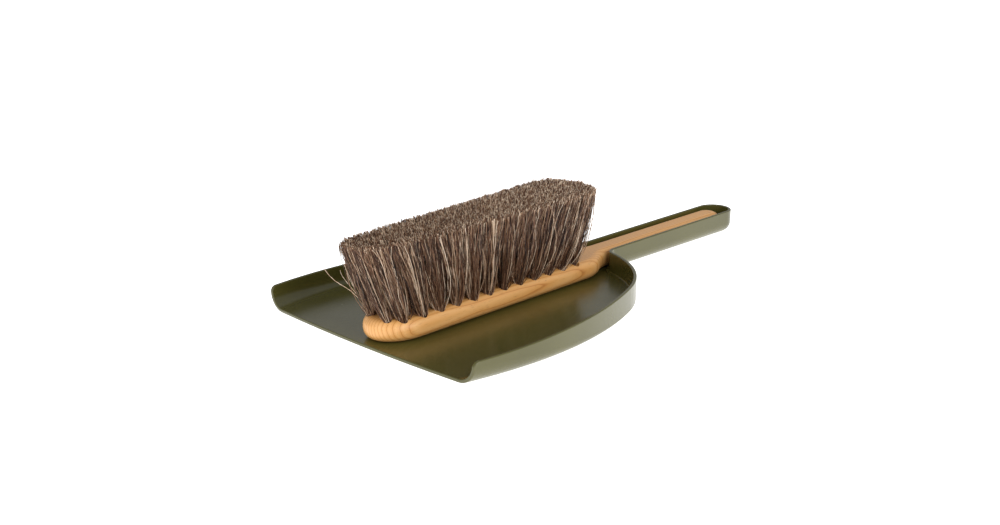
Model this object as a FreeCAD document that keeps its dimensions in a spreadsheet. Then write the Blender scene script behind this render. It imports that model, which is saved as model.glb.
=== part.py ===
import FreeCAD, Part
import math
import os

# Dust pan with a hand brush lying in it, bristles up.
# +Z is up, the lip faces -Y and the handles run to +Y. The pan stands on z = 0
# and is symmetrical about x = 0; y = 0 is half way along it.

V = FreeCAD.Vector
doc = FreeCAD.newDocument("dust_pan_set")

# ---------------------------------------------------------------- dimensions
sheet = doc.addObject("Spreadsheet::Sheet", "sizes")
SIZES = [
    # pan, seen from above
    ("overall_length", 375.0, "lip to the end of the pan's handle"),
    ("pan_width", 196.0, "across the widest part of the tray"),
    ("lip_bulge", 3.4, "how far the middle of the lip stands forward"),
    ("widest_station", 46.0, "from the lip's corners back to the widest part"),
    ("side_arc_radius", 300.0, "gentle arc of each side"),
    ("side_arc_sweep", 21.8, "degrees of side arc behind the widest part"),
    ("back_arc_radius", 90.0, "arc that closes the tray towards the handle"),
    ("throat_radius", 9.0, "hollow corner between tray and handle"),
    ("channel_width", 26.9, "outside of the channel handle"),
    # pan, in section
    ("pan_wall", 2.2, "wall of tray and channel"),
    ("pan_floor", 2.2, "floor of tray and channel"),
    ("lip_rim_height", 15.0, "rim height at the lip"),
    ("end_rim_height", 17.8, "rim height at the end of the handle"),
    ("tray_cove_radius", 14.0, "outside curve from floor to tray wall at the lip"),
    ("rear_cove_radius", 1.0, "the same round the back of the tray"),
    ("rear_inside_radius", 1.0, "inside curve from floor to wall round the back"),
    ("channel_cove_radius", 8.0, "outside curve from floor to channel wall"),
    ("front_overrun", 20.0, "tray cut away in front of the lip"),
    ("wall_end_radius", 4.0, "rounded top corner of each wall at the lip"),
    ("rim_round", 0.6, "softened edges of the rim, the walls' ends and the lip"),
    # brush stock
    ("nose_setback", 0.5, "lip's corners to the nose of the brush"),
    ("block_width", 39.0, "across the brush head"),
    ("nose_length", 26.0, "length of the half-oval nose"),
    ("neck_setback", 2.5, "end of the shoulders to the mouth of the channel"),
    ("shoulder_length", 34.0, "length of the curve from head to handle"),
    ("stock_thickness", 14.0, "thickness of head and handle"),
    ("stock_edge_round", 6.2, "rounded edges of the stock"),
    ("handle_side_gap", 1.4, "each side of the brush handle in the channel"),
    ("handle_end_gap", 9.5, "end of the brush handle to the channel's end"),
    ("rest_gap", 0.3, "least space between brush and pan"),
    # tufts
    ("rank_count", 24, "cross ranks of tufts"),
    ("first_rank_station", 8.0, "nose to the first rank"),
    ("last_rank_setback", 10.0, "last rank to the start of the shoulders"),
    ("row_spacing", 7.4, "between neighbouring rows"),
    ("tuft_edge_margin", 4.5, "least distance from a tuft's middle to the edge"),
    ("tuft_hole_diameter", 5.6, "drilled hole"),
    ("tuft_hole_depth", 9.0, "along the hole"),
    ("tuft_play", 0.1, "all round a tuft in its hole"),
    ("tuft_neck", 2.0, "tuft above the stock before it opens out"),
    ("tuft_top_diameter", 8.4, "tuft where it is trimmed"),
    ("hair_length", 49.5, "trimmed height above the stock"),
    ("fan_ratio", 1.22, "length of the trimmed face over length of the drilling"),
    ("spread_at_nose", 0.85, "width of trimmed face over width of drilling"),
    ("spread_at_shoulder", 1.62, "the same at the shoulder end"),
    ("corner_pull_in", 4.0, "trimmed face's last corners, towards the middle"),
    ("corner_pull_forward", 3.4, "the same corners, towards the nose"),
    ("corner_length", 12.0, "length of drilling behind those corners"),
    ("anchor_width", 1.2, "flat wire anchor, up the hole"),
    ("anchor_thickness", 0.5, "flat wire anchor"),
]
for row, (alias, value, note) in enumerate(SIZES, 1):
    sheet.set("A%d" % row, alias)
    sheet.set("B%d" % row, repr(value))
    sheet.set("C%d" % row, note)
    sheet.setAlias("B%d" % row, alias)
doc.recompute()


def size(alias):
    return float(sheet.get(alias))


# Places that follow from the sizes
LIP_Y = -size("overall_length") / 2 + size("lip_bulge")
END_Y = size("overall_length") / 2
NOSE_Y = LIP_Y + size("nose_setback")
CHANNEL_INSIDE = size("channel_width") / 2 - size("pan_wall")
HANDLE_HALF = CHANNEL_INSIDE - size("handle_side_gap")
HANDLE_END_Y = END_Y - size("pan_wall") - size("handle_end_gap")
STOCK_BOTTOM = size("pan_floor") + size("rest_gap")
STOCK_TOP = STOCK_BOTTOM + size("stock_thickness")
TRIM_Z = STOCK_TOP + size("hair_length")
RIM_RISE = size("end_rim_height") - size("lip_rim_height")
RIM_MIDDLE = (size("end_rim_height") + size("lip_rim_height")) / 2
NEAR = 0.02


def on_circle(centre, radius, angle):
    return V(centre.x + radius * math.cos(angle), centre.y + radius * math.sin(angle), 0)


def named(kind, name):
    made = doc.addObject(kind, name)
    made.Label = name
    return made


# ------------------------------------------------------------------ dust pan
def throat_geometry(inset):
    """Centres and joints of the plan outline, offset inwards by inset."""
    side_r = size("side_arc_radius") - inset
    back_r = size("back_arc_radius") - inset
    throat_r = size("throat_radius") + inset
    half_channel = size("channel_width") / 2 - inset
    sweep = math.radians(size("side_arc_sweep"))
    side_c = V(size("pan_width") / 2 - size("side_arc_radius"), LIP_Y + size("widest_station"), 0)
    gap = size("side_arc_radius") - size("back_arc_radius")
    back_c = V(side_c.x + gap * math.cos(sweep), side_c.y + gap * math.sin(sweep), 0)
    across = half_channel + throat_r - back_c.x
    throat_c = V(half_channel + throat_r, back_c.y + math.sqrt((back_r + throat_r) ** 2 - across ** 2), 0)
    join = math.atan2(throat_c.y - back_c.y, throat_c.x - back_c.x)
    return side_c, side_r, back_c, back_r, throat_c, throat_r, half_channel, sweep, join


THROAT_Y = throat_geometry(0.0)[4].y
NECK_Y = THROAT_Y - size("neck_setback")
SHOULDER_Y = NECK_Y - size("shoulder_length")


def pan_outline(name, inset, front_y):
    """Closed sketch of tray and channel, open ground in front of the lip included."""
    side_c, side_r, back_c, back_r, throat_c, throat_r, half, sweep, join = throat_geometry(inset)
    end_c = V(0, END_Y - size("channel_width") / 2, 0)
    start = math.asin((front_y - side_c.y) / side_r)
    sketch = named("Sketcher::SketchObject", name)
    up = V(0, 0, 1)
    for mirror in (1, -1):
        def arc(centre, radius, low, high):
            centre = V(mirror * centre.x, centre.y, 0)
            if mirror < 0:
                low, high = math.pi - high, math.pi - low
            sketch.addGeometry(Part.ArcOfCircle(Part.Circle(centre, up, radius), low, high))
        arc(side_c, side_r, start, sweep)
        arc(back_c, back_r, sweep, join)
        arc(throat_c, throat_r, math.pi, math.pi + join)
        side_top = V(mirror * half, end_c.y, 0)
        sketch.addGeometry(Part.LineSegment(V(mirror * half, throat_c.y, 0), side_top))
    sketch.addGeometry(Part.ArcOfCircle(Part.Circle(end_c, up, half), 0, math.pi))
    corner = on_circle(side_c, side_r, start)
    sketch.addGeometry(Part.LineSegment(V(-corner.x, front_y, 0), V(corner.x, front_y, 0)))
    return sketch


def bowl(name, inset, bottom, rear_r):
    """Solid with the tray's and the channel's rounded bottom edges."""
    front_y = LIP_Y - size("lip_bulge") - size("front_overrun")
    sketch = pan_outline(name + "_outline", inset, front_y)
    sketch.Placement.Base.z = bottom
    block = named("Part::Extrusion", name + "_block")
    block.Base = sketch
    block.DirMode = "Custom"
    block.Dir = V(0, 0, 1)
    block.Solid = True
    block.setExpression("LengthFwd", "sizes.end_rim_height * 2")
    doc.recompute()
    front_r = size("tray_cove_radius") - inset
    channel_r = size("channel_cove_radius") - inset
    side_arc = size("side_arc_radius") - inset
    throat_arc = size("throat_radius") + inset
    edges = []
    for number, edge in enumerate(block.Shape.Edges, 1):
        box = edge.BoundBox
        if box.ZMax > bottom + NEAR or box.YLength < NEAR:
            continue
        radii = (rear_r, rear_r)
        curve_radius = getattr(edge.Curve, "Radius", 0)
        if abs(curve_radius - side_arc) < NEAR:
            radii = (front_r, rear_r)
        elif abs(curve_radius - throat_arc) < NEAR:
            radii = (rear_r, channel_r)
        elif edge.CenterOfMass.y > THROAT_Y:
            radii = (channel_r, channel_r)
        towards_handle = edge.valueAt(edge.FirstParameter).y < edge.valueAt(edge.LastParameter).y
        if towards_handle == (edge.Orientation == "Reversed"):
            radii = radii[::-1]
        edges.append((number,) + radii)
    round_off = named("Part::Fillet", name)
    round_off.Base = block
    round_off.Edges = edges
    doc.recompute()
    return round_off


def pan_shell():
    outside = bowl("pan_outside", 0.0, 0.0, size("rear_cove_radius"))
    inside = bowl("pan_inside", size("pan_wall"), size("pan_floor"), size("rear_inside_radius"))
    shell = named("Part::Cut", "pan_shell")
    shell.Base = outside
    shell.Tool = inside
    return shell


def lip_prism():
    """Upright prism over all that lies behind the curved lip."""
    side_c, side_r = throat_geometry(0.0)[:2]
    corner_x = side_c.x + math.sqrt(side_r ** 2 - size("widest_station") ** 2)
    bulge = size("lip_bulge")
    radius = (corner_x ** 2 + bulge ** 2) / (2 * bulge)
    centre = V(0, LIP_Y - bulge + radius, 0)
    reach = math.asin((size("pan_width") / 2 + size("pan_wall")) / radius)
    low, high = -math.pi / 2 - reach, -math.pi / 2 + reach
    sketch = named("Sketcher::SketchObject", "lip_outline")
    sketch.addGeometry(Part.ArcOfCircle(Part.Circle(centre, V(0, 0, 1), radius), low, high))
    start, end = on_circle(centre, radius, low), on_circle(centre, radius, high)
    back = END_Y + size("pan_wall")
    for a, b in ((end, V(end.x, back, 0)), (V(end.x, back, 0), V(start.x, back, 0)), (V(start.x, back, 0), start)):
        sketch.addGeometry(Part.LineSegment(a, b))
    prism = named("Part::Extrusion", "lip_prism")
    prism.Base = sketch
    prism.DirMode = "Custom"
    prism.Dir = V(0, 0, 1)
    prism.Solid = True
    prism.setExpression("LengthFwd", "sizes.end_rim_height * 2")
    return prism


def above_rim():
    """Box whose sloping underside is the rim."""
    box = named("Part::Box", "above_rim")
    box.setExpression("Length", "sizes.pan_width * 2")
    box.setExpression("Width", "sizes.overall_length * 2")
    box.setExpression("Height", "sizes.end_rim_height * 3")
    slope = math.degrees(math.atan(RIM_RISE / size("overall_length")))
    spot = V(-size("pan_width"), -size("overall_length"), size("lip_rim_height") - RIM_RISE / 2)
    box.Placement = FreeCAD.Placement(spot, FreeCAD.Rotation(V(1, 0, 0), slope))
    return box


def numbered(shape, wanted):
    return [n for n, edge in enumerate(shape.Edges, 1) if wanted(edge)]


def rounded(name, base, radius, wanted):
    """Part::Fillet of one radius on the edges that wanted() picks, and what runs on from them."""
    doc.recompute()
    made = named("Part::Fillet", name)
    made.Base = base
    made.Edges = [(n, radius, radius) for n in numbered(base.Shape, wanted)]
    doc.recompute()
    return made


def on_rim(edge):
    """True for an edge that lies in the sloping plane of the rim."""
    slope = RIM_RISE / size("overall_length")
    return all(abs(v.Point.z - RIM_MIDDLE - slope * v.Point.y) < NEAR for v in edge.Vertexes)


def across_wall_end(edge):
    """True for the short top edge across the end of a wall at the lip."""
    return on_rim(edge) and edge.BoundBox.YMax < LIP_Y + size("pan_wall")


def along_rim(edge):
    return on_rim(edge) and edge.Length > 2 * size("pan_wall")


def dust_pan():
    behind_lip = named("Part::Common", "pan_behind_lip")
    behind_lip.Base = pan_shell()
    behind_lip.Tool = lip_prism()
    below_rim = named("Part::Cut", "pan_below_rim")
    below_rim.Base = behind_lip
    below_rim.Tool = above_rim()
    ends = rounded("pan_wall_ends", below_rim, size("wall_end_radius"), across_wall_end)
    return rounded("dust_pan", ends, size("rim_round"), along_rim)


# --------------------------------------------------------------- brush stock
def brush_placement():
    """The handle lies corner to corner in its channel, turned by its side gap."""
    half_engaged = (HANDLE_END_Y - THROAT_Y) / 2
    turn = math.atan((size("handle_side_gap") - size("rest_gap")) / half_engaged)
    pivot = V(0, THROAT_Y + half_engaged, 0)
    return FreeCAD.Placement(V(0, 0, 0), FreeCAD.Rotation(V(0, 0, 1), math.degrees(turn)), pivot)


def stock_outline(body):
    """Half-oval nose, straight head, S-shaped shoulders, handle with a round end."""
    half = size("block_width") / 2
    oval_y = NOSE_Y + size("nose_length")
    step = half - HANDLE_HALF
    bend = (step ** 2 + size("shoulder_length") ** 2) / (4 * step)
    swing = 2 * math.atan(step / size("shoulder_length"))
    end_y = HANDLE_END_Y - HANDLE_HALF
    up = V(0, 0, 1)
    sketch = body.newObject("Sketcher::SketchObject", "stock_outline")
    plane = [item for item in body.Origin.OriginFeatures if item.Role == "XY_Plane"][0]
    sketch.AttachmentSupport = [(plane, "")]
    sketch.MapMode = "FlatFace"
    sketch.setExpression(".AttachmentOffset.Base.z", "sizes.pan_floor + sizes.rest_gap")
    oval = Part.Ellipse(V(0, NOSE_Y, 0), V(half, oval_y, 0), V(0, oval_y, 0))
    sketch.addGeometry(Part.ArcOfEllipse(oval, -math.pi / 2, math.pi / 2))
    for side in (1, -1):
        sketch.addGeometry(Part.LineSegment(V(side * half, oval_y, 0), V(side * half, SHOULDER_Y, 0)))
        head = Part.Circle(V(side * (half - bend), SHOULDER_Y, 0), up, bend)
        neck = Part.Circle(V(side * (HANDLE_HALF + bend), NECK_Y, 0), up, bend)
        if side > 0:
            sketch.addGeometry(Part.ArcOfCircle(head, 0, swing))
            sketch.addGeometry(Part.ArcOfCircle(neck, math.pi, math.pi + swing))
        else:
            sketch.addGeometry(Part.ArcOfCircle(head, math.pi - swing, math.pi))
            sketch.addGeometry(Part.ArcOfCircle(neck, -swing, 0))
        sketch.addGeometry(Part.LineSegment(V(side * HANDLE_HALF, NECK_Y, 0), V(side * HANDLE_HALF, end_y, 0)))
    sketch.addGeometry(Part.ArcOfCircle(Part.Circle(V(0, end_y, 0), up, HANDLE_HALF), 0, math.pi))
    return sketch


def stock_blank():
    """Head and handle in one piece of wood, its edges rounded, before drilling."""
    body = named("PartDesign::Body", "stock_blank")
    sketch = stock_outline(body)
    pad = body.newObject("PartDesign::Pad", "stock_thickness")
    pad.Profile = sketch
    pad.setExpression("Length", "sizes.stock_thickness")
    doc.recompute()
    low, high = STOCK_BOTTOM + 0.01, STOCK_TOP - 0.01
    rims = numbered(pad.Shape, lambda edge: edge.BoundBox.ZMax < low or edge.BoundBox.ZMin > high)
    edge_round = body.newObject("PartDesign::Fillet", "stock_edges")
    edge_round.Base = (pad, ["Edge%d" % n for n in rims])
    edge_round.setExpression("Radius", "sizes.stock_edge_round")
    body.Tip = edge_round
    return body


# -------------------------------------------------------------------- tufts
def tuft_grid():
    """Ranks of tuft places: (x, y) on the stock and (x, y) where they are trimmed."""
    count = int(size("rank_count"))
    first = NOSE_Y + size("first_rank_station")
    last = SHOULDER_Y - size("last_rank_setback")
    middle = (first + last) / 2
    oval_y = NOSE_Y + size("nose_length")
    ranks = []
    for rank in range(count):
        along = rank / (count - 1)
        y = first + (last - first) * along
        nose = max(0.0, (oval_y - y) / size("nose_length"))
        room = size("block_width") / 2 * math.sqrt(1 - nose ** 2) - size("tuft_edge_margin")
        outer = min(2 * size("row_spacing"), room)
        inner = min(size("row_spacing"), room)
        across = (-inner, inner) if rank % 2 == 0 else (-outer, 0.0, outer)
        spread = size("spread_at_nose") + (size("spread_at_shoulder") - size("spread_at_nose")) * along
        top_y = middle + (y - middle) * size("fan_ratio")
        corner = max(0.0, 1 - (last - y) / size("corner_length"))
        places = []
        for x in across:
            share = corner * x / outer
            top_x = x * spread - share * size("corner_pull_in")
            places.append(((x, y), (top_x, top_y - abs(share) * size("corner_pull_forward"))))
        ranks.append(places)
    return ranks


def tuft_axis(foot, top):
    """Placement at the bottom of a drilled hole, +Z up the hole."""
    mouth = V(foot[0], foot[1], STOCK_TOP)
    along = (V(top[0], top[1], TRIM_Z) - mouth).normalize()
    turn = FreeCAD.Rotation(V(0, 0, 1), along)
    return FreeCAD.Placement(mouth - along * size("tuft_hole_depth"), turn)


def shifted(place, distance):
    """The same placement, moved up its own axis."""
    return place.multiply(FreeCAD.Placement(V(0, 0, distance), FreeCAD.Rotation()))


def hole(name, place):
    drill = named("Part::Cylinder", name)
    drill.setExpression("Radius", "sizes.tuft_hole_diameter / 2")
    drill.setExpression("Height", "sizes.tuft_hole_depth + sizes.tuft_hole_diameter")
    drill.Placement = place
    return drill


def tuft(name, place, reach):
    """Bundle of hair: a round root in its hole, then a cone that opens out."""
    root = named("Part::Cylinder", name + "_root")
    root.setExpression("Radius", "sizes.tuft_hole_diameter / 2 - sizes.tuft_play")
    root.setExpression("Height", "sizes.tuft_hole_depth + sizes.tuft_neck - sizes.anchor_width")
    root.Placement = shifted(place, size("anchor_width"))
    flare = named("Part::Cone", name + "_flare")
    flare.setExpression("Radius1", "sizes.tuft_hole_diameter / 2 - sizes.tuft_play")
    flare.setExpression("Radius2", "sizes.tuft_top_diameter / 2")
    flare.Height = reach
    flare.Placement = shifted(place, size("tuft_hole_depth") + size("tuft_neck"))
    return [root, flare]


def anchor(name, place):
    """Strip of flat wire across the bottom of a hole."""
    strip = named("Part::Box", name)
    strip.setExpression("Length", "sizes.tuft_hole_diameter - 2 * sizes.tuft_play")
    strip.setExpression("Width", "sizes.anchor_thickness")
    strip.setExpression("Height", "sizes.anchor_width")
    length = size("tuft_hole_diameter") - 2 * size("tuft_play")
    middle = V(-length / 2, -size("anchor_thickness") / 2, 0)
    strip.Placement = place.multiply(FreeCAD.Placement(middle, FreeCAD.Rotation()))
    return strip


def trimming_slab():
    """Everything up to the height at which the brush is trimmed."""
    slab = named("Part::Box", "trimming_slab")
    slab.setExpression("Length", "sizes.pan_width * 2")
    slab.setExpression("Width", "sizes.overall_length * 2")
    slab.setExpression("Height", "sizes.pan_floor + sizes.rest_gap + sizes.stock_thickness + sizes.hair_length")
    slab.Placement.Base = V(-size("pan_width"), -size("overall_length"), 0)
    return slab


def brush():
    """Drilled stock, its anchors and the ranks of trimmed tufts."""
    placement = brush_placement()
    holes, anchors, ranks = [], [], []
    slab = trimming_slab()
    for rank, places in enumerate(tuft_grid(), 1):
        bundles = []
        for spot, (foot, top) in enumerate(places, 1):
            tag = "%02d_%d" % (rank, spot)
            place = tuft_axis(foot, top)
            holes.append(hole("hole_" + tag, place))
            anchors.append(anchor("anchor_" + tag, place))
            slant = V(top[0] - foot[0], top[1] - foot[1], size("hair_length")).Length
            bundles += tuft("tuft_" + tag, place, slant + size("tuft_top_diameter"))
        loose = named("Part::MultiFuse", "untrimmed_rank_%02d" % rank)
        loose.Shapes = bundles
        trimmed = named("Part::Common", "tufts_rank_%02d" % rank)
        trimmed.Base = loose
        trimmed.Tool = slab
        trimmed.Placement = placement
        ranks.append(trimmed)
    drilling = named("Part::MultiFuse", "tuft_holes")
    drilling.Shapes = holes
    stock = named("Part::Cut", "brush_stock")
    stock.Base = stock_blank()
    stock.Tool = drilling
    stock.Placement = placement
    strips = named("Part::Compound", "tuft_anchors")
    strips.Links = anchors
    strips.Placement = placement
    return [stock, strips] + ranks


# ------------------------------------------------------------ build and save
nodes = [dust_pan()] + brush()
doc.recompute()
for item in doc.Objects:
    if {"Invalid", "Error"} & set(item.State):
        raise RuntimeError("%s did not build: %s" % (item.Label, item.State))
for node in nodes:
    shape = node.Shape
    if shape.isNull() or not shape.isValid() or not shape.Solids:
        raise RuntimeError("%s has no valid solid" % node.Label)
os.makedirs("parts", exist_ok=True)
for node in nodes:
    node.Shape.exportStep("parts/%s.step" % node.Label)
print("saved", len(nodes), "nodes")
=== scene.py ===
"""Looks of the dust pan and its horsehair hand brush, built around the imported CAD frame."""

import math

import bmesh
import bpy
import numpy as np
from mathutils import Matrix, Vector, geometry


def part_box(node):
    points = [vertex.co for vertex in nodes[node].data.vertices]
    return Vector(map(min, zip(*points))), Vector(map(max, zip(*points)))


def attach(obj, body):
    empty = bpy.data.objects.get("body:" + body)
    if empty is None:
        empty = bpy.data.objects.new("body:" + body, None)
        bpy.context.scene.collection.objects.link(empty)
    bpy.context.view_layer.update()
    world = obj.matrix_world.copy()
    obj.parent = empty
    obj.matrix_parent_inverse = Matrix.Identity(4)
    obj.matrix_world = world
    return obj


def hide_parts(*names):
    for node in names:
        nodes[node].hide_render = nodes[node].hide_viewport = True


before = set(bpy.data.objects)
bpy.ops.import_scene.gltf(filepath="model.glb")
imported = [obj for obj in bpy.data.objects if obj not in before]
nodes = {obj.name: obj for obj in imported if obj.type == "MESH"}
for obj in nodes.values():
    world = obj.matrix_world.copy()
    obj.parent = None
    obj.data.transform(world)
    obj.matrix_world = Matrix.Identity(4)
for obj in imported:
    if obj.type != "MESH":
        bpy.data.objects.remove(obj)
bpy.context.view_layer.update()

# ---------------------------------------------------------------- the dust pan
# The pan is one thin polypropylene moulding in olive green: tray, channel and rim together.
# It carries no other piece. Its surface comes from a lightly grained, polished mould, so it
# shows soft, slightly broken reflections and a fine pebble on the walls.

MM = 0.001
OLIVE = "#504d23"
OLIVE_DEEP = "#48451f"
FLOW_LENGTH = 90 * MM
POLISH_SIZE = 14 * MM
GRAIN_SIZE = 0.9 * MM
GRAIN_DEPTH = 0.05 * MM
POLYPROPYLENE_IOR = 1.49


def linear(hex_colour):
    """Linear RGBA of an sRGB hex colour."""
    channels = [int(hex_colour[i : i + 2], 16) / 255 for i in (1, 3, 5)]
    return [c / 12.92 if c <= 0.04045 else ((c + 0.055) / 1.055) ** 2.4 for c in channels] + [1.0]


def add_node(tree, kind, settings=None, links=None, stops=None):
    """A shader node with its settings, its incoming links and, for a ramp, its colour stops."""
    node = tree.nodes.new(kind)
    for name, value in (settings or {}).items():
        if isinstance(name, str) and hasattr(node, name):
            setattr(node, name, value)
        else:
            node.inputs[name].default_value = value
    for name, source in (links or {}).items():
        tree.links.new(source, node.inputs[name])
    for place, (position, colour) in enumerate(stops or ()):
        ramp = node.color_ramp.elements
        stop = ramp[place] if place < 2 else ramp.new(position)
        stop.position, stop.color = position, colour
    return node


def new_material(name):
    """An empty node material, its tree, and the surface coordinates that its patterns read."""
    material = bpy.data.materials.new(name)
    material.use_nodes = True
    material.node_tree.nodes.clear()
    place = add_node(material.node_tree, "ShaderNodeTexCoord").outputs["Object"]
    return material, material.node_tree, place


def finish_material(tree, shader):
    """Ends a material with its shader on the surface."""
    add_node(tree, "ShaderNodeOutputMaterial", links={"Surface": shader.outputs["BSDF"]})


def wear(node_name, material):
    """Puts one material on every slot of a CAD node."""
    mesh = nodes[node_name].data
    mesh.materials.clear()
    mesh.materials.append(material)


# Moulded polypropylene: a waxy semi-gloss, darker where the melt flowed last.
polypropylene, tree, place = new_material("moulded_polypropylene_olive")
flow = add_node(
    tree, "ShaderNodeTexNoise", {"Scale": 1 / FLOW_LENGTH, "Detail": 3.0}, {"Vector": place}
)
tone = add_node(
    tree, "ShaderNodeValToRGB", {}, {"Fac": flow.outputs["Fac"]},
    [(0.35, linear(OLIVE_DEEP)), (0.65, linear(OLIVE))],
)
polish = add_node(
    tree, "ShaderNodeTexNoise", {"Scale": 1 / POLISH_SIZE, "Detail": 4.0}, {"Vector": place}
)
roughness = add_node(
    tree, "ShaderNodeMapRange", {"To Min": 0.20, "To Max": 0.30}, {"Value": polish.outputs["Fac"]}
)
grain = add_node(
    tree, "ShaderNodeTexNoise", {"Scale": 1 / GRAIN_SIZE, "Detail": 2.0}, {"Vector": place}
)
pebble = add_node(
    tree, "ShaderNodeBump", {"Strength": 0.12, "Distance": GRAIN_DEPTH},
    {"Height": grain.outputs["Fac"]},
)
shader = add_node(
    tree, "ShaderNodeBsdfPrincipled", {"IOR": POLYPROPYLENE_IOR},
    {"Base Color": tone.outputs["Color"], "Roughness": roughness.outputs["Result"],
     "Normal": pebble.outputs["Normal"]},
)
finish_material(tree, shader)
wear("dust_pan", polypropylene)

# ---------------------------------------------------------------- the brush stock
# Handle and head are one piece of steamed beech, routed round its edge and drilled for the
# tufts, then rubbed with oil. The growth rings stand almost upright in the board, so they
# draw stripes on the nose, flames on the sides and straight lines on the top.

BEECH = "#d79c58"
BEECH_PALE = "#dfaa6a"
BEECH_RING = "#bb7a3a"
BEECH_PORE = "#8f5526"
RING_SPACING = 2.0 * MM
RING_WANDER = 3.6
RING_SHAPE = (1.0, 0.05, 0.45)
FLAME_WIDTH = 34 * MM
FLAME_LENGTH = 120 * MM
PITH = (-46 * MM, 0.0, -38 * MM)
PORE_WIDTH = 0.5 * MM
PORE_LENGTH = 4.5 * MM
PORE_DEPTH = 0.06 * MM

# Steamed beech under oil: pale pinkish wood with darker ring lines, short brown pores and a
# low satin gloss. Its rings are the distance from the pith, bent by a slow drift along the board.
oiled_beech, tree, place = new_material("oiled_steamed_beech")
warp = add_node(
    tree, "ShaderNodeMapping",
    {"Scale": (1 / FLAME_WIDTH, 1 / FLAME_LENGTH, 1 / FLAME_WIDTH)}, {"Vector": place},
)
drift = add_node(
    tree, "ShaderNodeTexNoise", {"Scale": 1.0, "Detail": 3.0}, {"Vector": warp.outputs["Vector"]}
)
from_pith = add_node(tree, "ShaderNodeVectorMath", {"operation": "SUBTRACT", 1: PITH}, {0: place})
across = add_node(
    tree, "ShaderNodeVectorMath", {"operation": "MULTIPLY", 1: RING_SHAPE},
    {0: from_pith.outputs["Vector"]},
)
radius = add_node(
    tree, "ShaderNodeVectorMath", {"operation": "LENGTH"}, {0: across.outputs["Vector"]}
)
rings = add_node(
    tree, "ShaderNodeMath", {"operation": "DIVIDE", 1: RING_SPACING}, {0: radius.outputs["Value"]}
)
bent = add_node(
    tree, "ShaderNodeMath", {"operation": "MULTIPLY_ADD", 1: RING_WANDER},
    {0: drift.outputs["Fac"], 2: rings.outputs["Value"]},
)
season = add_node(tree, "ShaderNodeMath", {"operation": "FRACT"}, {0: bent.outputs["Value"]})
ring_tone = add_node(
    tree, "ShaderNodeValToRGB", {}, {"Fac": season.outputs["Value"]},
    [(0.0, linear(BEECH)), (1.0, linear(BEECH)), (0.35, linear(BEECH_PALE)),
     (0.82, linear(BEECH)), (0.95, linear(BEECH_RING))],
)
along = add_node(
    tree, "ShaderNodeMapping",
    {"Scale": (1 / PORE_WIDTH, 1 / PORE_LENGTH, 1 / PORE_WIDTH)}, {"Vector": place},
)
pores = add_node(
    tree, "ShaderNodeTexNoise", {"Scale": 1.0, "Detail": 2.0}, {"Vector": along.outputs["Vector"]}
)
pore_mask = add_node(
    tree, "ShaderNodeMapRange", {"From Min": 0.60, "From Max": 0.78, "To Max": 0.55},
    {"Value": pores.outputs["Fac"]},
)
wood_tone = add_node(
    tree, "ShaderNodeMix", {"data_type": "RGBA", 7: linear(BEECH_PORE)},
    {0: pore_mask.outputs["Result"], 6: ring_tone.outputs["Color"]},
)
hollow = add_node(
    tree, "ShaderNodeBump", {"Strength": 0.25, "Distance": PORE_DEPTH, "invert": True},
    {"Height": pore_mask.outputs["Result"]},
)
shader = add_node(
    tree, "ShaderNodeBsdfPrincipled",
    {"Roughness": 0.42, "IOR": 1.5, "Coat Weight": 0.12, "Coat Roughness": 0.3},
    {"Base Color": wood_tone.outputs[2], "Normal": hollow.outputs["Normal"]},
)
finish_material(tree, shader)
wear("brush_stock", oiled_beech)

# ---------------------------------------------------------------- the tuft anchors
# Flat strips of drawn steel wire, each folded under a bundle of hair and punched across the
# bottom of its hole. They show only as a glint down inside the holes.

STEEL = "#b9b6af"
DRAW_MARK_WIDTH = 0.1 * MM
DRAW_MARK_LENGTH = 3 * MM

# Drawn steel wire: grey metal with fine marks along it from the die.
drawn_steel, tree, place = new_material("drawn_steel_wire")
strokes = add_node(
    tree, "ShaderNodeMapping",
    {"Scale": (1 / DRAW_MARK_WIDTH, 1 / DRAW_MARK_LENGTH, 1 / DRAW_MARK_WIDTH)}, {"Vector": place},
)
scratches = add_node(
    tree, "ShaderNodeTexNoise", {"Scale": 1.0}, {"Vector": strokes.outputs["Vector"]}
)
sheen = add_node(
    tree, "ShaderNodeMapRange", {"To Min": 0.25, "To Max": 0.45},
    {"Value": scratches.outputs["Fac"]},
)
shader = add_node(
    tree, "ShaderNodeBsdfPrincipled", {"Base Color": linear(STEEL), "Metallic": 1.0},
    {"Roughness": sheen.outputs["Result"]},
)
finish_material(tree, shader)
wear("tuft_anchors", drawn_steel)

# ---------------------------------------------------------------- the hair
# Each hole holds a bundle of undyed horsehair, folded over its anchor so that both ends stand
# up, and the whole head is then cut nearly level. Hairs keep their crimp: they leave the hole
# side by side, fan out in locks, and meet their neighbours halfway up.

SEED = 1931
HAIR_COUNT = 21000
TRIALS = 200000
HAIR_THICKNESS = 0.36 * MM
HAIR_POINTS = 9

# At the stock
ROOT_RADIUS = 2.8 * MM
ROOT_DEPTH = 3.0 * MM
ROOT_SCATTER = 0.16
ROOT_FOLLOW = 0.8
FOLLOW_REACH = 7 * MM
SOLID_END = 2.5 * MM

# Along the hair
LOCK_SIZE = 3.2 * MM
LOCK_KINDS = 16
MINGLE = 1.6 * MM
CRIMP = 0.85 * MM
BEND = 1.4 * MM
WISP_PULL = 0.5
WILD_SHARE = 0.16
WILD_BEND = 3.2

# At the cut face
EDGE_ROOM = 4.4 * MM
EDGE_DROP = 0.6 * MM
HEEL_LENGTH = 22 * MM
HEEL_COMB = 2.0 * MM
UNEVEN_CUT = 0.45 * MM
CUT_SLOPE = 0.015
CLUMP_SIZE = 1.3 * MM
CLUMP_STEP = 0.5 * MM
CLUMP_KINDS = 997

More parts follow.
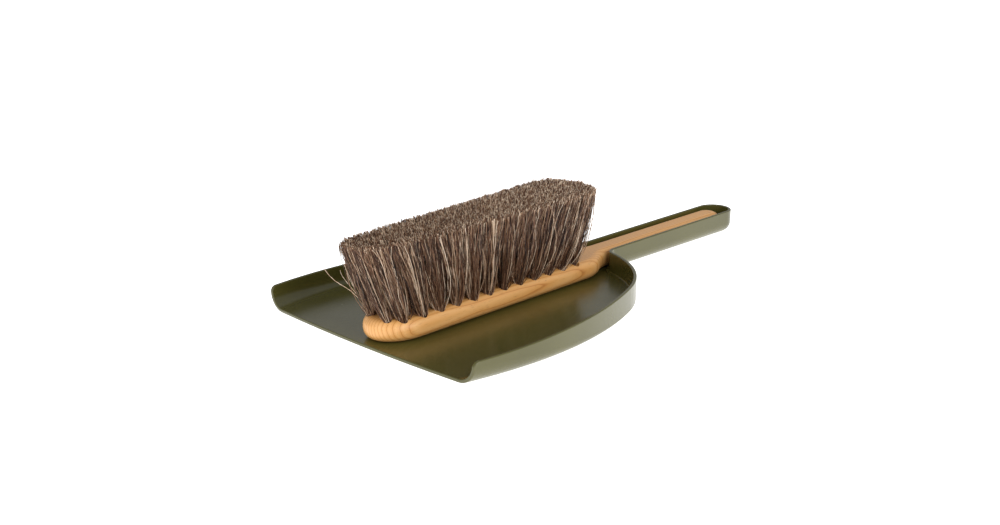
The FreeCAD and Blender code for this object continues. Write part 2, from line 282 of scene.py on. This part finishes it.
# Shades, from 0 for the darkest hair to 1 for the palest
SHADE_MIDDLE = 0.46
SHADE_SPREAD = 0.24
CLUMP_CONTRAST = 0.15
PALE_SHARE = 0.13
PALE_SHADES = (0.75, 1.0)
FLECK_WIDTH = 2 * MM
FLECK_LENGTH = 7 * MM
FLECK_CONTRAST = 0.35
TRIM_HEIGHT = 66 * MM
# Painted highlight: the top few millimetres of every hair are lightened, as light catching the cut
# face.
TIP_HIGHLIGHT_LENGTH = 4 * MM
TIP_HIGHLIGHT_LIFT = 0.155

# Hairs that have sprung out of their tuft: the rank, and places along each from its root.
STRAY_HAIRS = [
    (
        "tufts_rank_01",
        [(-1, -176, 14), (-4, -185.5, 30), (-6, -190, 35), (-13, -194.5, 40), (-23, -194, 45)],
    ),
    (
        "tufts_rank_02",
        [(-6, -172, 14), (-11, -178, 26), (-16, -181, 33), (-22, -181, 37), (-28, -178, 39)],
    ),
    ("tufts_rank_23", [(11, -19, 14), (14, -6, 30), (19, 2, 40), (18, 8, 50), (14, 9, 63)]),
    ("tufts_rank_24", [(2, -12, 14), (9, 2, 30), (13, 7, 42), (14, 11, 52), (10, 12, 65)]),
]
STRAY_SHADE = 0.9

HAIR_STOPS = [
    (0.0, linear("#1c0d05")), (1.0, linear("#f2dac0")), (0.25, linear("#402515")),
    (0.5, linear("#65442e")), (0.72, linear("#967156")), (0.86, linear("#c7a688")),
]

# Undyed horsehair: brown-black to straw-coloured hairs with a low silky gloss, flecked along
# their length, with a painted highlight that lightens their cut ends. Each hair's own shade comes
# with its mesh.
horsehair, tree, place = new_material("undyed_horsehair")
shade = add_node(tree, "ShaderNodeAttribute", {"attribute_name": "hair_shade"})
fleck_place = add_node(
    tree, "ShaderNodeMapping",
    {"Scale": (1 / FLECK_WIDTH, 1 / FLECK_WIDTH, 1 / FLECK_LENGTH)}, {"Vector": place},
)
fleck = add_node(
    tree, "ShaderNodeTexNoise", {"Scale": 1.0, "Detail": 2.0},
    {"Vector": fleck_place.outputs["Vector"]},
)
blend = add_node(
    tree, "ShaderNodeMath", {"operation": "MULTIPLY_ADD", 1: FLECK_CONTRAST},
    {0: fleck.outputs["Fac"], 2: shade.outputs["Fac"]},
)
height = add_node(tree, "ShaderNodeSeparateXYZ", links={"Vector": place}).outputs["Z"]
# Painted highlight on the cut ends: the shade rises over the last few millimetres below the trim
# height. Lower down it only centres the flecks.
painted_tip_highlight = add_node(
    tree, "ShaderNodeMapRange",
    {"From Min": TRIM_HEIGHT - TIP_HIGHLIGHT_LENGTH, "From Max": TRIM_HEIGHT,
     "To Min": -FLECK_CONTRAST / 2, "To Max": TIP_HIGHLIGHT_LIFT - FLECK_CONTRAST / 2},
    {"Value": height},
)
centred = add_node(
    tree, "ShaderNodeMath", {"operation": "ADD"},
    {0: blend.outputs["Value"], 1: painted_tip_highlight.outputs["Result"]},
)
hair_tone = add_node(
    tree, "ShaderNodeValToRGB", {}, {"Fac": centred.outputs["Value"]}, HAIR_STOPS
)
shader = add_node(
    tree, "ShaderNodeBsdfPrincipled", {"Roughness": 0.42, "IOR": 1.55, "Specular IOR Level": 0.45},
    {"Base Color": hair_tone.outputs["Color"]},
)
finish_material(tree, shader)


def disc_centres(corners):
    """Middles of the round ends among these corners, from left to right."""
    corners = corners[np.argsort(corners[:, 0])]
    breaks = np.flatnonzero(np.diff(corners[:, 0]) > SOLID_END) + 1
    return [(part.min(axis=0) + part.max(axis=0)) / 2 for part in np.split(corners, breaks)]


def tuft_axes(node):
    """Foot and head of each tuft of one rank, read from its CAD solids."""
    corners = np.array([v.co for v in node.data.vertices])
    height = corners[:, 2]
    feet = disc_centres(corners[height < height.min() + SOLID_END])
    heads = disc_centres(corners[height > height.max() - 0.01 * MM])
    return list(zip(feet, heads, strict=True))


def outline_distance(spots, corners):
    """How far spots are outside the closed outline through these corners; negative inside."""
    ends = np.roll(corners, -1, axis=0)
    side = ends - corners
    length = np.linalg.norm(side, axis=1)
    from_corner = spots[:, None, :] - corners
    out = (from_corner[:, :, 0] * side[:, 1] - from_corner[:, :, 1] * side[:, 0]) / length
    share = ((from_corner * side).sum(axis=2) / length**2).clip(0, 1)
    nearest = np.linalg.norm(from_corner - share[:, :, None] * side, axis=2).min(axis=1)
    return np.where(out.max(axis=1) <= 0, -nearest, nearest)


def cut_face(heads, dice):
    """Hair ends scattered evenly over the trimmed face, and how near its edge each one is."""
    flat = [tuple(head[:2]) for head in heads]
    corners = np.array([flat[i] for i in geometry.convex_hull_2d(flat)])
    low, high = corners.min(axis=0) - EDGE_ROOM, corners.max(axis=0) + EDGE_ROOM
    trial = dice.uniform(low, high, (TRIALS, 2))
    outside = outline_distance(trial, corners)
    kept = outside < EDGE_ROOM
    tips, edge = trial[kept][:HAIR_COUNT], outside[kept][:HAIR_COUNT]
    behind = ((tips[:, 1] - high[1]) / HEEL_LENGTH + 1).clip(0, 0.98)
    middle = (low[0] + high[0]) / 2
    tips[:, 0] = middle + (tips[:, 0] - middle) * (1 - behind**2.5) ** 0.4 - HEEL_COMB * behind
    return tips, edge


def hair_lines(tips, edge, foot, head, exit_height, dice):
    """Points along every hair of one tuft, and each hair's shade."""
    count = len(tips)
    away = tips - head[:2]

    # Locks share a lean, and draw together halfway up.
    cell = np.round(away / LOCK_SIZE + dice.normal(0, 0.25, away.shape))
    lock = (cell[:, 0] * 7 + cell[:, 1] * 3).astype(int) % LOCK_KINDS
    wisp = WISP_PULL * (cell * LOCK_SIZE - away)
    wild = dice.uniform(0, 1, (count, 1)) < WILD_SHARE

    # Ends: nearly level, in small clumps, lower round the edge.
    tip_height = head[2] + dice.normal(0, UNEVEN_CUT, count).clip(-4 * UNEVEN_CUT, 1.5 * UNEVEN_CUT)
    clump = np.floor(tips / CLUMP_SIZE + dice.normal(0, 0.2, tips.shape)).astype(int)
    clump = (clump[:, 0] * 37 + clump[:, 1] * 101) % CLUMP_KINDS
    tip_height += CLUMP_STEP * clump_tones[clump] - EDGE_DROP * (edge / EDGE_ROOM).clip(0, 1)
    tip_height += CUT_SLOPE * (tips[:, 1] - heads[:, 1].mean())
    start = exit_height - ROOT_DEPTH
    share = np.linspace(0, 1, HAIR_POINTS)
    height = start + (tip_height[:, None] - start) * share

    # Roots: on the tuft's own axis, each hair on the side of the hole that it leans to.
    slope = (head - foot)[:2] / (head[2] - foot[2])
    reach = np.linalg.norm(away, axis=1, keepdims=True)
    inward = away / np.maximum(reach, 1e-6) * np.minimum(1, reach / FOLLOW_REACH) ** 0.6
    scatter = dice.normal(0, ROOT_SCATTER, (count, 2))
    root = foot[:2] + (start - foot[2]) * slope + ROOT_RADIUS * (ROOT_FOLLOW * inward + scatter)

    # The line between, with a bow and a crimp.
    flare = share ** dice.uniform(0.85, 1.2, (count, 1))
    line = root[:, None, :] + (tips - root)[:, None, :] * flare[:, :, None]
    lean = dice.uniform(0, math.tau, LOCK_KINDS)[lock] + dice.normal(0, 0.9, count)
    bend = BEND * dice.normal(0, 1, (count, 1)) * np.where(wild, WILD_BEND, 1.0)
    bow = bend * np.sin(math.pi * share**0.8)
    swing = dice.uniform(0, math.tau, (count, 1))
    waves = dice.uniform(1.2, 3.2, (count, 1))
    phase = dice.uniform(0, math.tau, LOCK_KINDS)[lock][:, None] + dice.normal(0, 0.9, (count, 1))
    crimp = CRIMP * dice.uniform(0.3, 1.5, (count, 1)) * share**0.5
    crimp *= np.sin(waves * math.tau * share + phase)
    side = crimp * np.cos(swing) + bow * np.cos(lean)[:, None]
    front = crimp * np.sin(swing) + bow * np.sin(lean)[:, None]
    line += np.stack([side, front], axis=2)
    line += wisp[:, None, :] * np.sin(math.pi * share**1.3)[None, :, None]
    points = np.concatenate([line, height[:, :, None]], axis=2)

    shades = dice.normal(SHADE_MIDDLE, SHADE_SPREAD, count) + CLUMP_CONTRAST * clump_tones[clump]
    pale = dice.uniform(0, 1, count) < PALE_SHARE
    shades = np.where(pale, dice.uniform(*PALE_SHADES, count), shades)
    return points, shades.clip(0.0, 1.0)


def stray_line(places):
    """A smooth hair near these places, given in millimetres."""
    places = np.array(places) * MM
    spot, share = np.linspace(0, 1, len(places)), np.linspace(0, 1, HAIR_POINTS)
    return np.stack([np.polyval(np.polyfit(spot, axis, 3), share) for axis in places.T], axis=1)


def three_sided(thickness):
    """The tube section swept along each hair: a triangle, enough for something this thin."""
    curve = bpy.data.curves.new("hair_section", "CURVE")
    curve.dimensions = "3D"
    side = curve.splines.new("POLY")
    side.points.add(2)
    for point, turn in zip(side.points, (0, 2 * math.tau / 3, math.tau / 3), strict=True):
        point.co = (thickness / 2 * math.cos(turn), thickness / 2 * math.sin(turn), 0, 1)
    side.use_cyclic_u = True
    section = bpy.data.objects.new("hair_section", curve)
    bpy.context.scene.collection.objects.link(section)
    return section


def hair_piece(name, points, shades, section):
    """One mesh of hairs: a capped tube along each line of points, with the hairs' shades on it."""
    curve = bpy.data.curves.new(name + "_lines", "CURVE")
    curve.dimensions = "3D"
    curve.bevel_mode = "OBJECT"
    curve.bevel_object = section
    curve.use_fill_caps = True
    weights = np.ones(points.shape[:2] + (1,))
    for line in np.concatenate([points, weights], axis=2):
        spline = curve.splines.new("POLY")
        spline.points.add(len(line) - 1)
        spline.points.foreach_set("co", line.ravel())
    lines = bpy.data.objects.new(name + "_lines", curve)
    bpy.context.scene.collection.objects.link(lines)
    shown = lines.evaluated_get(bpy.context.evaluated_depsgraph_get())
    mesh = bpy.data.meshes.new_from_object(shown)
    bpy.data.objects.remove(lines)
    mesh.name = name
    mesh.shade_smooth()
    per_hair = len(mesh.vertices) // len(points)
    attribute = mesh.attributes.new("hair_shade", "FLOAT", "POINT")
    attribute.data.foreach_set("value", np.repeat(shades, per_hair).astype(np.float32))
    mesh.materials.clear()
    mesh.materials.append(horsehair)
    piece = bpy.data.objects.new(name, mesh)
    bpy.context.scene.collection.objects.link(piece)
    return piece


exit_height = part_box("brush_stock")[1].z
ranks = sorted(name for name in nodes if name.startswith("tufts_rank_"))
axes = [(name, foot, head) for name in ranks for foot, head in tuft_axes(nodes[name])]
heads = np.array([head for name, foot, head in axes])
dice = np.random.default_rng(SEED)
clump_tones = dice.normal(0, 1, CLUMP_KINDS)
tips, edge = cut_face(heads, dice)
mingled = tips + dice.normal(0, MINGLE, tips.shape)
owner = np.linalg.norm(mingled[:, None, :] - heads[None, :, :2], axis=2).argmin(axis=1)
hair_section = three_sided(HAIR_THICKNESS)
for rank in ranks:
    grown = [
        hair_lines(tips[owner == spot], edge[owner == spot], foot, head, exit_height, dice)
        for spot, (name, foot, head) in enumerate(axes)
        if name == rank
    ]
    grown += [
        (stray_line(places)[None], [STRAY_SHADE]) for name, places in STRAY_HAIRS if name == rank
    ]
    piece = hair_piece(
        rank.replace("tufts", "hair"),
        np.concatenate([points for points, shades in grown]),
        np.concatenate([shades for points, shades in grown]),
        hair_section,
    )
    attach(piece, "brush")
    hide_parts(rank)
bpy.data.objects.remove(hair_section)

# ---------------------------------------------------------------- the studio
# A white table lit from below and a white room around it, with a broad soft light over the
# left shoulder of the camera, as for a catalogue picture.

FLOOR_HALF = 6.0
FLOOR_DROP = 0.3 * MM
FLOOR_GLOW = 1.1
ROOM_LIGHT = 0.55

table, tree, place = new_material("white_light_table")
wash = add_node(tree, "ShaderNodeTexNoise", {"Scale": 1.5, "Detail": 1.0}, {"Vector": place})
white = add_node(
    tree, "ShaderNodeValToRGB", {}, {"Fac": wash.outputs["Fac"]},
    [(0.0, linear("#f6f6f6")), (1.0, linear("#fbfbfb"))],
)
shader = add_node(
    tree, "ShaderNodeBsdfPrincipled",
    {"Roughness": 0.35, "Emission Color": linear("#ffffff"), "Emission Strength": FLOOR_GLOW},
    {"Base Color": white.outputs["Color"]},
)
finish_material(tree, shader)

shape = bmesh.new()
bmesh.ops.create_grid(shape, x_segments=1, y_segments=1, size=FLOOR_HALF)
bmesh.ops.translate(shape, verts=shape.verts, vec=(0, 0, -FLOOR_DROP))
floor_mesh = bpy.data.meshes.new("studio_table")
shape.to_mesh(floor_mesh)
shape.free()
floor_mesh.materials.append(table)
floor = bpy.data.objects.new("studio_table", floor_mesh)
bpy.context.scene.collection.objects.link(floor)

room = bpy.data.worlds.new("white_room")
room.use_nodes = True
room.node_tree.nodes["Background"].inputs["Color"].default_value = linear("#ffffff")
room.node_tree.nodes["Background"].inputs["Strength"].default_value = ROOM_LIGHT
bpy.context.scene.world = room
bpy.context.scene.view_settings.view_transform = "Standard"


def seen_from(azimuth, elevation):
    """Direction from the set towards a place round it; azimuth 0 is in front of the lip."""
    turn, rise = math.radians(azimuth), math.radians(elevation)
    level = math.cos(rise)
    return Vector((math.sin(turn) * level, -math.cos(turn) * level, math.sin(rise)))


def soft_box(name, azimuth, elevation, distance, width, power):
    """A square soft light aimed at the middle of the set."""
    light = bpy.data.lights.new(name, "AREA")
    light.shape = "SQUARE"
    light.size = width
    light.energy = power
    lamp = bpy.data.objects.new(name, light)
    away = seen_from(azimuth, elevation)
    lamp.location = away * distance
    lamp.rotation_euler = away.to_track_quat("Z", "Y").to_euler()
    bpy.context.scene.collection.objects.link(lamp)


soft_box("key_light", azimuth=85, elevation=22, distance=1.8, width=1.3, power=19)
soft_box("front_light", azimuth=5, elevation=25, distance=1.8, width=1.2, power=9)

LOOK_AT = Vector((-0.0588, -0.0087, 0.0))
VIEW_AZIMUTH = 44.57
VIEW_ELEVATION = 17.15
VIEW_DISTANCE = 0.8751
FOCAL_LENGTH = 43.2
SENSOR_WIDTH = 36.0

lens = bpy.data.cameras.new("catalogue_camera")
lens.lens = FOCAL_LENGTH
lens.sensor_width = SENSOR_WIDTH
lens.clip_start = 0.01
camera = bpy.data.objects.new("catalogue_camera", lens)
away = seen_from(VIEW_AZIMUTH, VIEW_ELEVATION)
camera.location = LOOK_AT + away * VIEW_DISTANCE
camera.rotation_euler = away.to_track_quat("Z", "Y").to_euler()
bpy.context.scene.collection.objects.link(camera)
bpy.context.scene.camera = camera
